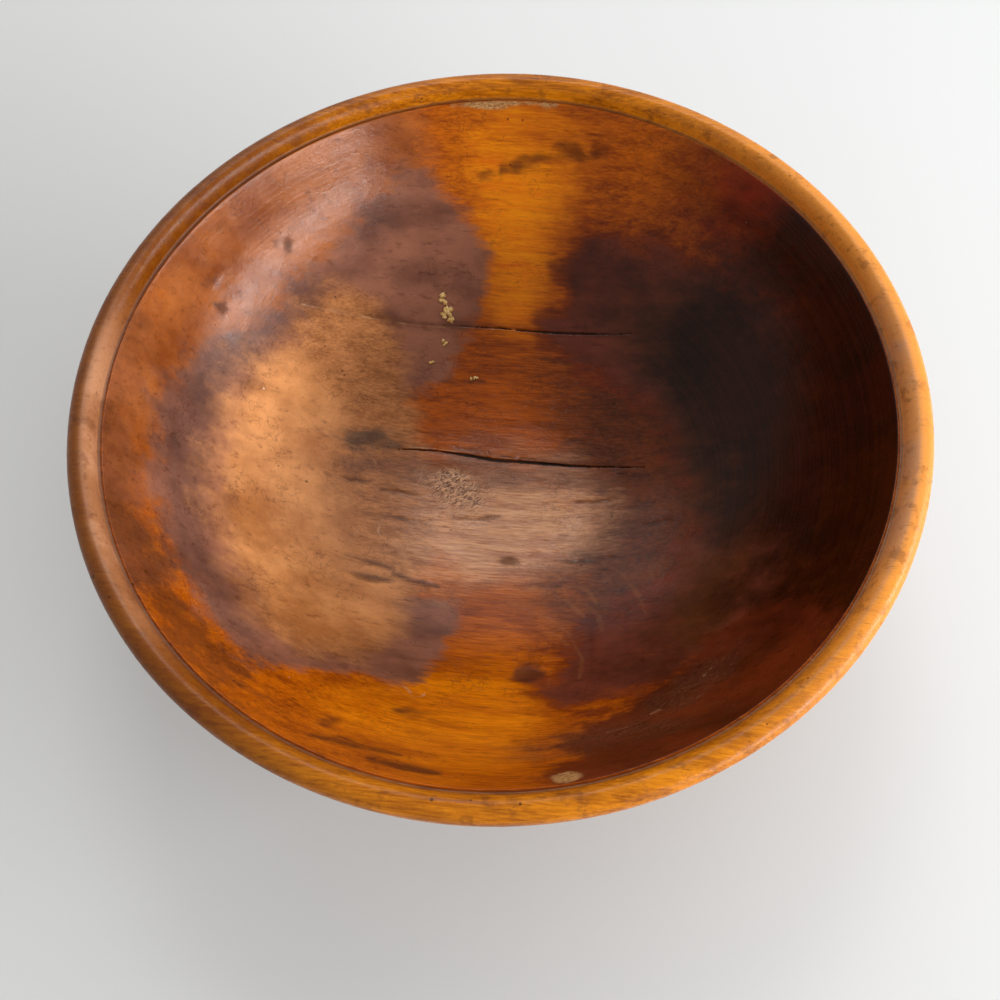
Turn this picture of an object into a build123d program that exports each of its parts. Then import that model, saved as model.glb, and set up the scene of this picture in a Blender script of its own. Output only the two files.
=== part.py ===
"""Round wooden dough bowl turned from one blank, with two grain cracks and what has dried on it.

The wood is a single piece: foot, wall and rim bead are one turning. Old packed-in grime fills the
lower part of each crack, and a few thin flakes have dried onto the floor.
Millimetres, +Z up, origin at the centre of the foot on the surface that the bowl stands on.
"""
from build123d import *
import os
from math import atan2, degrees, radians, tan

# Overall sizes of the turning
rim_diameter = 356.0
bowl_height = 130.0
foot_diameter = 130.0
floor_thickness = 24.0

# Rim bead, measured in its cross-section
rim_width = 11.0
rim_crown_inset = 6.5
rim_crown_rise = 5.0
rim_inner_drop = 8.0
rim_under_drop = 8.0
rim_overhang = 2.5

# Fine groove turned between the bead and the inside wall
quirk_width = 2.0
quirk_depth = 1.6

# Inside: a leaning wall, a rounded corner and a gently dished floor
wall_lean = 28.0
corner_radius = 150.0
floor_dish_radius = 480.0

# Shape of the outside curve, from under the bead down to the foot
outside_lean = 36.0
outside_wall_pull = 0.62
outside_foot_pull = 0.38
outside_foot_rise = 8.0

# Grain: its turn in plan, and the height of the pith line that the cracks point to
grain_turn = -8.0
pith_height = 255.0

# Main crack: places along and across the grain, then its size
main_crack_along = -4.0
main_crack_across = 16.5
main_crack_length = 150.0
main_crack_width = 1.8
main_crack_depth = 8.0

# Rear crack, finer and climbing the wall at its left end
rear_crack_along = -22.0
rear_crack_across = 93.0
rear_crack_length = 175.0
rear_crack_width = 1.0
rear_crack_depth = 6.0

# How far below the wood's surface the packing in the cracks ends
packing_recess = 0.8

# Dried flakes on the floor behind the main crack: one long flake and three crumbs
flake_thickness = 0.9
long_flake_place = (-25.0, 97.5)
long_flake_length = 10.0
long_flake_width = 5.0
long_flake_turn = 80.0
crumb_places = [(-27.0, 81.5), (-34.0, 71.0), (-11.5, 63.0)]
crumb_length = 4.0
crumb_width = 2.2
crumb_turn = 35.0

# Places worked out from the sizes above
rim_radius = rim_diameter / 2
foot_radius = foot_diameter / 2
widest_height = bowl_height - rim_crown_rise
crown_radius = rim_radius - rim_crown_inset
bead_inner_radius = rim_radius - rim_width
bead_foot_height = bowl_height - rim_inner_drop
bead_under_height = widest_height - rim_under_drop
wall_outer_radius = rim_radius - rim_overhang
hollow_radius = bead_inner_radius - quirk_width
hollow_depth = bead_foot_height - floor_thickness


def outside_curve():
    """Outside line in section, from under the bead down to the foot."""
    return Bezier(
        (wall_outer_radius, bead_under_height),
        (wall_outer_radius - outside_lean, bead_under_height * (1 - outside_wall_pull)),
        (foot_radius + (wall_outer_radius - foot_radius) * outside_foot_pull, outside_foot_rise),
        (foot_radius, 0),
    )


def rim_curves():
    """Quirk and bead in section, from the top of the inside wall over the rim to its underside."""
    quirk_bottom = (hollow_radius + quirk_width / 2, bead_foot_height - quirk_depth)
    quirk = Polyline(
        (hollow_radius, bead_foot_height),
        quirk_bottom,
        (bead_inner_radius, bead_foot_height),
    )
    inner_side = EllipticalCenterArc(
        (crown_radius, bead_foot_height),
        crown_radius - bead_inner_radius,
        rim_inner_drop,
        start_angle=90,
        arc_size=90,
    )
    outer_side = EllipticalCenterArc(
        (crown_radius, widest_height),
        rim_crown_inset,
        rim_crown_rise,
        start_angle=0,
        arc_size=90,
    )
    under_side = EllipticalCenterArc(
        (wall_outer_radius, widest_height),
        rim_overhang,
        rim_under_drop,
        start_angle=270,
        arc_size=90,
    )
    return [quirk, inner_side, outer_side, under_side]


def turned_blank():
    """The outside of the turning with its rim bead, still solid inside: one revolved section."""
    section = Curve() + [
        *rim_curves(),
        outside_curve(),
        Polyline((foot_radius, 0), (0, 0), (0, bead_foot_height), (hollow_radius, bead_foot_height)),
    ]
    return revolve(make_face(Plane.XZ * section), Axis.Z)


def hollow_space():
    """The space inside the bowl, from the dished floor up to the edge below the rim."""
    low_radius = hollow_radius - hollow_depth * tan(radians(wall_lean))
    cone_section = make_face(
        Polyline(
            (0, floor_thickness),
            (low_radius, floor_thickness),
            (hollow_radius, bead_foot_height),
            (0, bead_foot_height),
            close=True,
        )
    )
    dish = Pos(0, floor_thickness + floor_dish_radius) * Circle(floor_dish_radius)
    section = cone_section & dish
    corner = section.vertices().sort_by(Axis.X)[-2]
    section = fillet(corner, corner_radius)
    return revolve(Plane.XZ * section, Axis.Z)


def crack_blade(along, across, length, width):
    """Thin pointed blade that stands on the floor along the grain and leans towards the pith line."""
    outline = Polyline(
        (-length / 2, 0),
        (-length / 6, width / 2),
        (length / 6, width / 2),
        (length / 2, 0),
        (length / 6, -width / 2),
        (-length / 6, -width / 2),
        close=True,
    )
    blade = extrude(make_face(outline), amount=bowl_height, both=True)
    lean = degrees(atan2(across, pith_height - floor_thickness))
    return Rot(0, 0, grain_turn) * Pos(along, across, floor_thickness) * Rot(lean, 0, 0) * blade


def crack_slot(space, blade, depth):
    """The open crack: the blade's reach down to its depth below the inside surface."""
    return blade & (Pos(0, 0, -depth) * space)


def crack_packing(space, slot):
    """Hardened grime that fills a crack from its bottom up to the recess below the surface."""
    return slot - Pos(0, 0, -packing_recess) * space


def flake(space, place, length, width, turn):
    """One thin flake with cut corners that lies on the inside surface."""
    outline = Polyline(
        (-length / 2, 0),
        (-length / 4, width / 2),
        (length / 4, width / 2),
        (length / 2, 0),
        (length / 4, -width / 2),
        (-length / 4, -width / 2),
        close=True,
    )
    column = Pos(*place, floor_thickness) * Rot(0, 0, turn) * extrude(make_face(outline), amount=hollow_depth)
    return (column & space) - Pos(0, 0, flake_thickness) * space


def main():
    """Builds each piece and writes it to its own file."""
    space = hollow_space()
    main_blade = crack_blade(main_crack_along, main_crack_across, main_crack_length, main_crack_width)
    rear_blade = crack_blade(rear_crack_along, rear_crack_across, rear_crack_length, rear_crack_width)
    main_slot = crack_slot(space, main_blade, main_crack_depth)
    rear_slot = crack_slot(space, rear_blade, rear_crack_depth)
    flakes = [flake(space, long_flake_place, long_flake_length, long_flake_width, long_flake_turn)]
    for place in crumb_places:
        flakes.append(flake(space, place, crumb_length, crumb_width, crumb_turn))
    pieces = {
        "bowl": turned_blank() - space - main_slot - rear_slot,
        "main_crack_packing": crack_packing(space, main_slot),
        "rear_crack_packing": crack_packing(space, rear_slot),
        "residue_flakes": Compound([solid for piece in flakes for solid in piece.solids()]),
    }
    os.makedirs("parts", exist_ok=True)
    for name, shape in pieces.items():
        export_step(shape, f"parts/{name}.step")


main()
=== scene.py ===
"""Looks of the turned dough bowl: old stained wood, grime packed in its cracks and dried flakes.

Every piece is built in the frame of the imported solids, in metres with +Z up. Sizes in the classes are
millimetres, as a turner measures them, and become metres where a mesh is made.
"""
import logging
import math
from dataclasses import dataclass, field
from enum import Enum, IntEnum
from typing import Iterable, Sequence, Union

import bmesh
import bpy
import numpy as np
from mathutils import Matrix, Vector, noise


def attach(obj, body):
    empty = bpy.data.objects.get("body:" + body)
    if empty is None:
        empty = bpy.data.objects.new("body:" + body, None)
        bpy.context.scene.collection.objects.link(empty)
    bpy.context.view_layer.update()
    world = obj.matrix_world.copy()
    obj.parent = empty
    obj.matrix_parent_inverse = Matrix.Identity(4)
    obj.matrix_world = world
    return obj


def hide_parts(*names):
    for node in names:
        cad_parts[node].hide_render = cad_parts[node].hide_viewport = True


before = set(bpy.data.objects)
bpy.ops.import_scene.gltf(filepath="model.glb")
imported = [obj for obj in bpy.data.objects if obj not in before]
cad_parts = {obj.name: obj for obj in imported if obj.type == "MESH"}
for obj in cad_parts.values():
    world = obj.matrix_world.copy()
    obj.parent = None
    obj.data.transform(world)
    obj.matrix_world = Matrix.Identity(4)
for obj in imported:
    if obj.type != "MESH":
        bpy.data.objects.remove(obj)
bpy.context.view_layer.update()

MM = 0.001
GRAIN_TURN = -8.0
PITH_ACROSS = 26.0
PITH_HEIGHT = 255.0
FAR = 1e9
TINY = 1e-9
DEPTH_LIMIT = 40.0
SEED_SHIFT = (1.0, 1.7, 0.6)
LOG = logging.getLogger("dough_bowl")

Place = tuple[float, float]
Point = tuple[float, float, float]
Colour = tuple[float, float, float]
Ramp = tuple[float, float, float, float]
Socket = bpy.types.NodeSocket
Source = Union[Socket, float, tuple[float, ...]]


class Region(IntEnum):
    """Parts of the turning that have a finish of their own, in the order of the material slots."""

    INSIDE = 0
    RIM = 1
    OUTSIDE = 2


class Pattern(Enum):
    """Pattern that runs between the two tones of a stain."""

    FIBRE = "fibre"
    MOTTLE = "mottle"
    SCUFFS = "scuffs"
    STRANDS = "strands"


class Mark(Enum):
    """Marks on the inside, each kept on the mesh as the depth inside its edge in millimetres: stains and
    marks of use, and patches of painted shade and painted sheen.
    """

    GLOW = "front_glow"
    REAR_GLOW = "rear_glow"
    RED_FLOOR = "red_floor"
    LEFT_WALL = "left_wall"
    UPPER_LEFT = "upper_left_wall"
    LEFT_STAIN = "left_stain"
    LEFT_BAND = "left_band"
    LEFT_PALE = "left_pale"
    LEFT_TAN = "left_tan"
    RIGHT_STAIN = "right_stain"
    RIGHT_PALE = "right_pale"
    RIGHT_DARK = "right_dark"
    RIGHT_WALL = "right_wall"
    FLOOR_SHADE = "floor_shade"
    RING_PATCH = "ring_patch"
    GROWTH_LINE = "growth_line"
    WALL_GRIME = "wall_grime"
    SMEAR = "grey_smear"
    WORN_AND_SHEEN_FLOOR = "worn_and_sheen_floor"
    CRACK_SHADE = "crack_shade"
    DARK_WALL = "dark_wall"
    RED_WALL = "red_wall"
    CRACK = "open_crack"
    STREAK = "dark_streak"
    BARE = "bare_wood"
    TORN = "torn_grain"
    SMUDGE = "grey_smudge"
    SCRATCH = "pale_scratch"
    DENT = "dark_dent"


def srgb(red: float, green: float, blue: float) -> tuple[float, float, float, float]:
    """Turns a colour as seen on a screen, 0 to 255, into the renderer's linear colour.

    Args:
        red: Red share of the colour.
        green: Green share of the colour.
        blue: Blue share of the colour.

    Returns:
        The linear colour with full opacity.
    """
    shares = [value / 255 for value in (red, green, blue)]
    linear = [s / 12.92 if s <= 0.04045 else ((s + 0.055) / 1.055) ** 2.4 for s in shares]
    return (*linear, 1.0)


def smooth_step(low: float, high: float, values: np.ndarray) -> np.ndarray:
    """Rises smoothly from 0 at low to 1 at high.

    Args:
        low: Value where the rise starts.
        high: Value where the rise ends; below low for a fall.
        values: Values to map.

    Returns:
        The mapped values, from 0 to 1.
    """
    share = np.clip((values - low) / (high - low), 0.0, 1.0)
    return share * share * (3.0 - 2.0 * share)


def gap_to_segment(places: np.ndarray, start: np.ndarray, end: np.ndarray) -> tuple[np.ndarray, np.ndarray]:
    """Measures the distance from places to a straight stretch.

    Args:
        places: Array of plan points.
        start: First end of the stretch.
        end: Other end of the stretch.

    Returns:
        Distance of each place, and its share of the way along the stretch.
    """
    along = np.asarray(end, float) - start
    share = np.clip((places - start) @ along / max(along @ along, TINY), 0.0, 1.0)
    return np.linalg.norm(places - start - share[:, None] * along, axis=1), share


def arc(centre: Sequence[float], radii: Place, start: float, end: float, steps: int) -> list[Place]:
    """Draws part of a circle or an upright ellipse in a section.

    Args:
        centre: Middle of the arc, out from the axis and up.
        radii: Half of its width and half of its height.
        start: First angle, from straight down and outwards, in radians.
        end: Last angle.
        steps: Number of points.

    Returns:
        The points of the arc.
    """
    return [
        (centre[0] + radii[0] * math.sin(angle), centre[1] - radii[1] * math.cos(angle))
        for angle in np.linspace(start, end, steps)
    ]


@dataclass(frozen=True)
class Outline:
    """Closed line on the plan of the bowl, through a few points, for the edge of a stain."""

    points: tuple[Place, ...]
    steps: int = 3

    def rounded(self) -> np.ndarray:
        """Draws the line as a smooth closed curve through its points.

        Returns:
            The points of the curve.
        """
        given = np.array(self.points, float)
        before, after, last = (np.roll(given, shift, axis=0) for shift in (1, -1, -2))
        slope = after - before
        bend = 2 * before - 5 * given + 4 * after - last
        twist = 3 * given - before - 3 * after + last
        shares = np.linspace(0.0, 1.0, self.steps, endpoint=False)
        curve = [0.5 * (2 * given + slope * t + bend * t**2 + twist * t**3) for t in shares]
        return np.stack(curve, axis=1).reshape(-1, 2)

    def depth(self, places: np.ndarray) -> np.ndarray:
        """Measures how far places lie inside the line.

        Args:
            places: Array of plan points in millimetres.

        Returns:
            Distance to the line, positive inside and negative outside.
        """
        curve = self.rounded()
        nearest = np.full(len(places), FAR)
        inside = np.zeros(len(places), bool)
        for start, end in zip(curve, np.roll(curve, -1, axis=0)):
            nearest = np.minimum(nearest, gap_to_segment(places, start, end)[0])
            crosses = (start[1] > places[:, 1]) != (end[1] > places[:, 1])
            rise = end[1] - start[1] if end[1] != start[1] else TINY
            reach = start[0] + (places[:, 1] - start[1]) * (end[0] - start[0]) / rise
            inside ^= crosses & (places[:, 0] < reach)
        return np.where(inside, nearest, -nearest)


@dataclass(frozen=True)
class Stroke:
    """Open line on the plan with a width that tapers to both ends, for a crack, check or scratch.

    The fade gives places along X and how much of the stroke's half width doesn't show there.
    """

    points: tuple[Place, ...]
    width: float
    fullest: float = 0.5
    thinning: float = 0.5
    fade: tuple[Sequence[float], Sequence[float]] = ((0.0,), (0.0,))
    thinnest: float = 0.02

    def line(self) -> np.ndarray:
        """Gives the points of the line as an array."""
        return np.array(self.points, float)

    def run(self) -> np.ndarray:
        """Gives each point's share of the way along the line."""
        lengths = np.linalg.norm(np.diff(self.line(), axis=0), axis=1)
        return np.concatenate([[0.0], np.cumsum(lengths)]) / lengths.sum()

    def share(self, way: np.ndarray) -> np.ndarray:
        """Gives the stroke's share of its full width, by the way along it from 0 to 1."""
        taper = np.where(way < self.fullest, way / self.fullest, (1 - way) / (1 - self.fullest))
        return np.clip(taper, self.thinnest, 1.0) ** self.thinning

    def gap(self, places: np.ndarray) -> np.ndarray:
        """Measures the distance from places to the edge of the stroke.

        Args:
            places: Array of plan points in millimetres.

        Returns:
            Distance to the stroke's edge, negative within it.
        """
        line, run = self.line(), self.run()
        best = np.full(len(places), FAR)
        for index in range(len(line) - 1):
            gap, share = gap_to_segment(places, line[index], line[index + 1])
            way = run[index] + share * (run[index + 1] - run[index])
            best = np.minimum(best, gap - 0.5 * self.width * self.share(way))
        return best

    def shown_gap(self, places: np.ndarray) -> np.ndarray:
        """Measures the distance to the edge of what shows of the stroke."""
        return self.gap(places) + np.interp(places[:, 0], *self.fade)

    def depth(self, places: np.ndarray) -> np.ndarray:
        """Measures how far places lie inside what shows of the stroke."""
        return -self.shown_gap(places)


@dataclass(frozen=True)
class Spot:
    """Round or oval place on the plan, for a dent, chip or smudge."""

    place: Place
    length: float
    width: float
    turn: float = 0.0

    def gap(self, places: np.ndarray) -> np.ndarray:
        """Measures the distance from places to the edge of the spot.

        Args:
            places: Array of plan points in millimetres.

        Returns:
            Distance to the spot's edge, about right near it and negative within it.
        """
        turn = math.radians(self.turn)
        offset = places - np.array(self.place)
        along = offset[:, 0] * math.cos(turn) + offset[:, 1] * math.sin(turn)
        across = offset[:, 1] * math.cos(turn) - offset[:, 0] * math.sin(turn)
        ratio = np.hypot(along / (self.length / 2), across / (self.width / 2))
        return (ratio - 1.0) * min(self.length, self.width) / 2

    def depth(self, places: np.ndarray) -> np.ndarray:
        """Measures how far places lie inside the spot."""
        return -self.gap(places)


def nearest_gap(shapes: Iterable[Stroke | Spot], places: np.ndarray) -> np.ndarray:
    """Gives each place's distance to the nearest of several strokes or spots."""
    return np.min([shape.gap(places) for shape in shapes], axis=0)


# Marks that cut into the wood

MAIN_CRACK = Stroke((
    (-52, 23.6), (-47.4, 23.9), (-35.1, 23.6), (-23.3, 21.7), (-11, 19), (-2.8, 16.9), (6.9, 15.8),
    (19.2, 13.9), (36.9, 10.9), (54.4, 8), (71.8, 4.4),
), 1.6, 0.42, 0.9)
REAR_CRACK = Stroke((
    (-97.3, 88.2), (-80, 90), (-61.4, 90.6), (-37, 89.9), (-17.1, 89.5), (3.1, 88.1), (23.1, 84.8),
    (49.7, 79.6), (76.7, 73.5),
), 0.8, 0.75, 1.7, ((-97.0, -40.0, 5.0), (0.4, 0.25, 0.0)))
STREAKS = (
    Stroke(((-24, 24.6), (-14, 22.8), (-5, 20.6)), 0.9),
    Stroke(((0, 18.9), (8, 17.6), (17, 16.2)), 0.8, 0.3),
    Stroke(((-87, 6), (-76, 4.4), (-66, 4.6)), 2.6, 0.4),
    Stroke(((-60, 0.8), (-52, -0.4), (-41, -2.6)), 1.6, 0.4),
    Stroke(((-61, -13), (-50, -15.6), (-38, -17.4)), 1.4, 0.3),
    Stroke(((-25, -15.2), (-15, -16.4), (-2, -16.2)), 1.8, 0.6),
    Stroke(((-76, -38), (-66, -40.4), (-54, -43)), 1.6),
    Stroke(((-77, -46.5), (-65, -49.2), (-54, -50.6)), 2.2),
    Stroke(((-54, -47), (-44, -50.4), (-33, -53)), 1.6, 0.4),
    Stroke(((26, -41), (38, -43.6), (58, -43)), 2.2),
    Stroke(((-76, -139), (-60, -143), (-42, -147)), 2.4),
    Stroke(((-54, -149), (-42, -153), (-28, -156)), 2.2),
    Stroke(((-30, 62), (-18, 61), (-6, 61.5)), 1.0),
    Stroke(((8, 74), (26, 71), (40, 66)), 1.0),
    Stroke(((36, -10), (44, -11), (54, -10.6)), 1.6),
    Stroke(((68, -28), (80, -27.6), (88, -26)), 1.4),
)
SCRATCHES = (
    Stroke(((-66, 20), (-62, 12), (-58, 2)), 0.5),
    Stroke(((-50, -106), (-44, -111), (-41, -116)), 0.6),
    Stroke(((-66, -16), (-72, -24), (-77, -36)), 0.5),
    Stroke(((-38, -111), (-37, -116)), 0.6),
    Stroke(((-58, -12), (-62, -22), (-60, -30)), 0.5),
    Stroke(((-99, 86.9), (-80, 88.8), (-61, 89.4), (-37, 88.8), (-26, 88.7)), 0.6, 0.2),
    Stroke(((-48, 25.4), (-34, 24.6), (-20, 22.4)), 0.5),
    Stroke(((36, -139), (46, -137)), 0.3),
    Stroke(((53, -133), (60, -130)), 0.3),
    Stroke(((66, -124), (73, -120)), 0.3),
    Stroke(((71, -129), (78, -125)), 0.3),
    Stroke(((78, -117), (83, -113)), 0.3),
)
DENTS = (
    Spot((-131.2, 79.9), 5.4, 3.0, 60.0),
    Spot((-129.4, 71.3), 3.8, 2.6, 20.0),
    Spot((-105.8, 105.4), 3.2, 1.2, 70.0),
    Spot((-102.0, 103.7), 2.6, 1.1, 40.0),
    Spot((-99.1, 109.9), 3.0, 1.1, 60.0),
    Spot((-72.4, -132.7), 5.0, 3.0, -10.0),
    Spot((-46.0, -123.0), 5.0, 1.5, -8.0),
    Spot((7.2, -103.4), 11.0, 7.0, 10.0),
    Spot((2.0, -40.0), 4.0, 2.6),
    Spot((-3.6, 147.2), 8.0, 1.6),
    Spot((8.0, 148.6), 3.0, 2.4, 60.0),
    Spot((15.0, 149.3), 7.0, 1.8, 10.0),
    Spot((27.2, 149.0), 10.0, 2.2, -4.0),
    Spot((42.2, 147.8), 8.0, 2.0, -14.0),
    Spot((55.0, 145.5), 4.0, 1.8, -20.0),
)
BARE_PLACES = (
    Spot((18.3, -160.7), 11.0, 4.6, 8.0),
    Stroke(((-16, 163.9), (0, 164.6), (20, 163.5), (37, 160.6)), 1.5, 0.6),
)
TORN_PATCH = Spot((-24.0, 2.0), 34.0, 26.0, -20.0)
RIM_NICK = Stroke(((-134.8, 106.6), (-130.3, 111.4), (-126.3, 116.4)), 1.0)

# Marks of colour alone

GROWTH_LINES = (
    Stroke(((34, -25), (39, -32), (44, -41)), 0.7),
    Stroke(((47, -46), (55, -52), (61, -66), (63, -77)), 0.7),
    Stroke(((14, -43), (28, -52), (38, -60), (42, -68)), 0.8),
    Stroke(((16, -57), (28, -64), (35, -74)), 0.6),
    Stroke(((2, -65), (18, -72), (28, -83), (32, -98), (30, -108)), 0.8),
    Stroke(((18, -80), (23, -84), (27, -90)), 0.6),
    Stroke(((37, -67), (42, -75), (43, -84)), 0.6),
    Stroke(((11, -98), (18, -103), (16, -111)), 0.6),
)
MARK_SHAPES: dict[Mark, tuple[Outline | Stroke | Spot, ...]] = {
    Mark.GLOW: (Outline((
        (-60, -110), (-30, -102), (2, -110), (10, -124), (2, -143), (-20, -156), (-50, -142), (-76, -122),
    )),),
    Mark.REAR_GLOW: (Outline((
        (2, 88), (22, 88), (30, 106), (36, 124), (42, 142), (28, 157), (-10, 157), (-8, 142), (2, 122),
    )),),
    Mark.RED_FLOOR: (Outline((
        (-62, 34), (-52, 58), (-40, 78), (-16, 84), (10, 78), (30, 76), (62, 78), (78, 60), (82, 30),
        (76, 8), (56, 6), (34, 12), (4, 18), (-22, 22), (-48, 27),
    )),),
    Mark.LEFT_WALL: (Outline((
        (-150, 50), (-152, 0), (-148, -40), (-135, -75), (-160, -90), (-178, -30), (-180, 20), (-168, 66),
    )),),
    Mark.UPPER_LEFT: (Outline((
        (-159, 10), (-154, -24), (-138, -30), (-118, 10), (-110, 46), (-86, 74), (-54, 102), (-32, 124),
        (-30, 148), (-48, 172), (-100, 152), (-146, 106), (-157, 66),
    )),),
    Mark.LEFT_STAIN: (Outline((
        (-37, 147), (-18, 141), (-6, 131), (-2, 121), (0, 112), (-5, 103), (-8, 95), (-14, 84), (-19, 73),
        (-26, 63), (-40, 55), (-60, 46), (-80, 32), (-88, 4), (-80, -30), (-58, -54), (-34, -56),
        (-22, -62), (-20, -72), (-28, -82), (-32, -93), (-38, -102), (-52, -108), (-64, -104), (-80, -103),
        (-96, -108), (-110, -100), (-122, -84), (-133, -64), (-144, -43), (-152, -22), (-153, 0),
        (-150, 26), (-140, 46), (-125, 66), (-108, 85), (-94, 104), (-76, 122), (-56, 137),
    )),),
    Mark.LEFT_BAND: (Stroke((
        (-107, 78), (-130, 49), (-141, 14), (-142, -23), (-133, -58), (-120, -82), (-106, -93),
    ), 17.0, 0.4, 0.3),),
    Mark.LEFT_PALE: (Outline((
        (-92, 94), (-76, 103), (-60, 100), (-50, 86), (-45, 72), (-45, 56), (-40, 38), (-36, 20), (-32, -8),
        (-34, -36), (-42, -52), (-46, -66), (-52, -82), (-64, -92), (-80, -95), (-98, -88), (-110, -74),
        (-116, -57), (-122, -40), (-125, -15), (-125, 10), (-121, 34), (-113, 54), (-104, 72),
    )),),
    Mark.LEFT_TAN: (Outline((
        (-122, 48), (-108, 62), (-92, 60), (-80, 42), (-76, 12), (-76, -16), (-72, -34), (-62, -44),
        (-52, -52), (-48, -62), (-54, -78), (-66, -88), (-84, -89), (-103, -77), (-116, -56), (-126, -36),
        (-131, -8), (-130, 24),
    )),),
    Mark.RIGHT_STAIN: (Outline((
        (40, 116), (54, 121), (70, 116), (90, 106), (107, 93), (122, 78), (134, 60), (143, 36), (148, 8),
        (147, -20), (141, -46), (127, -71), (110, -93), (86, -109), (60, -118), (30, -122), (13, -113),
        (20, -101), (31, -86), (50, -75), (76, -62), (86, -44), (90, -26), (90, -4), (86, 14), (80, 32),
        (64, 52), (44, 68), (30, 80), (24, 88), (34, 95), (38, 101), (37, 106), (40, 111),
    )),),
    Mark.RIGHT_PALE: (Outline((
        (62, 96), (84, 92), (106, 72), (118, 40), (122, 0), (120, -44), (110, -72), (90, -96), (66, -98),
        (70, -76), (82, -60), (88, -30), (84, 10), (76, 50), (62, 76),
    )),),
    # RIGHT_DARK and RIGHT_WALL are partly dark stain and partly painted shade: near black over the right wall
    # and its lower corner, which lie in shade
    Mark.RIGHT_DARK: (Outline((
        (84, 62), (104, 82), (122, 70), (138, 48), (148, 16), (150, -24), (142, -58), (126, -66), (112, -46),
        (104, -12), (92, 24),
    )),),
    Mark.RIGHT_WALL: (Outline((
        (122, 84), (134, 56), (138, 20), (138, -20), (132, -46), (119, -68), (104, -88), (122, -118),
        (150, -98), (176, -40), (182, 0), (178, 46), (158, 88),
    )),),
    # Painted shade over brown stain: a broad, soft darkening of the floor right of the middle, where the
    # right wall's shadow falls
    Mark.FLOOR_SHADE: (Outline((
        (52, 74), (68, 84), (96, 70), (112, 40), (114, 0), (108, -44), (84, -76), (52, -80), (38, -60),
        (47, -22), (50, 6), (46, 30), (46, 54),
    )),),
    Mark.RING_PATCH: (Spot((12.0, -74.0), 84.0, 64.0),),
    Mark.GROWTH_LINE: GROWTH_LINES,
    Mark.WALL_GRIME: (Spot((-125.0, -101.0), 56.0, 15.0, 130.0),),
    Mark.SMEAR: (Spot((40.0, -140.0), 44.0, 7.0, 8.0), Spot((74.0, -121.0), 36.0, 12.0, 34.0)),
    # Pale worn wood in the floor's middle, lightened further as a painted sheen
    Mark.WORN_AND_SHEEN_FLOOR: (Outline((
        (-22, 8), (-2, 8), (20, 5), (38, -4), (42, -20), (30, -36), (-2, -44), (-26, -42), (-40, -32),
        (-36, -10),
    )),),
    Mark.CRACK_SHADE: (
        Stroke(((-78, 12), (-50, 13), (-20, 12), (6, 8), (30, 4), (56, 0)), 13.0, 0.5, 0.4),
    ),
    # Dark stain on the front right wall, painted darker as shade, since this wall faces away from the light
    Mark.DARK_WALL: (Outline((
        (0, -141), (13, -140), (26, -133), (38, -127), (52, -120), (70, -108), (90, -97), (104, -86),
        (128, -104), (110, -134), (70, -156), (34, -168), (8, -162), (22, -151), (6, -147),
    )),),
    # Painted shade: the amber of the upper right wall darkened to deep red where it lies in shade
    Mark.RED_WALL: (Outline((
        (124, 156), (116, 110), (126, 88), (140, 62), (146, 34), (150, -20), (190, -20), (180, 60),
        (154, 120),
    )),),
    Mark.CRACK: (MAIN_CRACK, REAR_CRACK),
    Mark.STREAK: STREAKS,
    Mark.BARE: BARE_PLACES,
    Mark.TORN: (TORN_PATCH,),
    Mark.SMUDGE: (Spot((-70.0, 27.0), 26.0, 9.0, -2.0),),
    Mark.SCRATCH: SCRATCHES,
    Mark.DENT: DENTS,
}


@dataclass(frozen=True)
class Cut:
    """How a kind of mark cuts into the wood: its depth, where its side starts and ends, how ragged it is."""

    depth: float
    start: float
    end: float
    raggedness: float = 0.0

    def at(self, gap: np.ndarray, ragged: np.ndarray) -> np.ndarray:
        """Gives the depth of the cut by the distance to the mark's edge."""
        return self.depth * smooth_step(self.start, self.end, gap + ragged * self.raggedness)


@dataclass(frozen=True)
class Ripple:
    """Uneven height of old wood: how high, its waves for each millimetre, its seed and its stretch."""

    height: float
    waves: float
    seed: float
    stretch: Point = (1.0, 1.0, 1.0)

    def signed(self, places: np.ndarray) -> np.ndarray:
        """Gives the height at places, up and down from zero.

        Args:
            places: Array of points in millimetres.

        Returns:
            Height at each place, in millimetres.
        """
        shift = Vector([self.seed * part for part in SEED_SHIFT])
        stretched = places * np.array(self.stretch)
        values = [noise.noise(Vector(place) * self.waves + shift) for place in stretched]
        return self.height * np.array(values)

    def raised(self, places: np.ndarray) -> np.ndarray:
        """Gives the height at places in millimetres, from zero upwards."""
        return 0.5 * self.height + 0.5 * self.signed(places)


MAIN_CUT = Cut(2.6, 0.25, -0.35, 1.0)
REAR_CUT = Cut(1.6, 0.2, -0.25, 0.6)
CRACK_LIP = Cut(0.05, 3.0, 0.0, 1.0)
SURFACE_CUTS = (
    (STREAKS, Cut(0.22, 0.8, -0.8, 2.0)),
    (DENTS, Cut(0.25, 0.6, -1.0, 2.0)),
    (SCRATCHES, Cut(0.1, 0.3, -0.3)),
    (BARE_PLACES, Cut(0.7, 0.6, -1.0, 2.0)),
)
TORN_CUT = Cut(0.35, 2.0, -6.0)
NICK_CUT = Cut(0.5, 0.5, -0.5)
RAGGED_EDGES = (Ripple(0.35, 0.35, 5.0), Ripple(0.3, 1.1, 6.0, (0.6, 1.2, 1.0)))
OLD_WAVES = (Ripple(0.22, 0.018, 1.0), Ripple(0.05, 0.11, 2.0))
TORN_STRANDS = Ripple(1.0, 0.45, 9.0, (0.5, 1.6, 1.0))


@dataclass(frozen=True)
class Texture:
    """One noise pattern: waves for each millimetre along, across and up the grain, layers, seed and turn.

    The ramp gives the noise values that count as nothing and as all.
    """

    waves: Point
    detail: float
    rough: float
    seed: float = 0.0
    ramp: Place = (0.3, 0.7)
    turn: float = GRAIN_TURN
    curl: float = 0.0


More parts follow.
